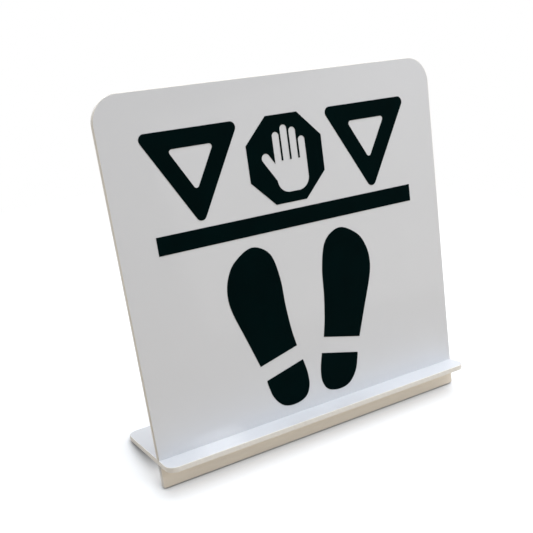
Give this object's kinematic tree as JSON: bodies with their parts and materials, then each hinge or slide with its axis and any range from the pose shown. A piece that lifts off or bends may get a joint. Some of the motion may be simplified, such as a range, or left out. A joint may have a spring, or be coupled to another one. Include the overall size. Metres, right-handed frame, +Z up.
{
  "type": "tabletop stand sign",
  "caption": "Free-standing sign that leans back on a crossing base plate, with black footprints, a line and road sign shapes showing where to stop and stand.",
  "frame": {"origin": "on the table, under the middle of the sign's width and depth", "axes": "+X to the right as the sign is read, +Y away from the reader, +Z up"},
  "size_m": [0.2, 0.0652, 0.1938],
  "materials": {
    "white_sheet": "opal white acrylic sheet, glossy faces, polished cut edges",
    "black_film": "satin black film, cut and laid flat on the sheet"
  },
  "bodies": {
    "root": {"sign_panel": "white_sheet", "base_plate": "white_sheet", "octagon_hand": "black_film", "triangle_left": "black_film", "triangle_right": "black_film", "line_bar": "black_film", "sole_left": "black_film", "heel_left": "black_film", "sole_right": "black_film", "heel_right": "black_film"}
  },
  "joints": []
}
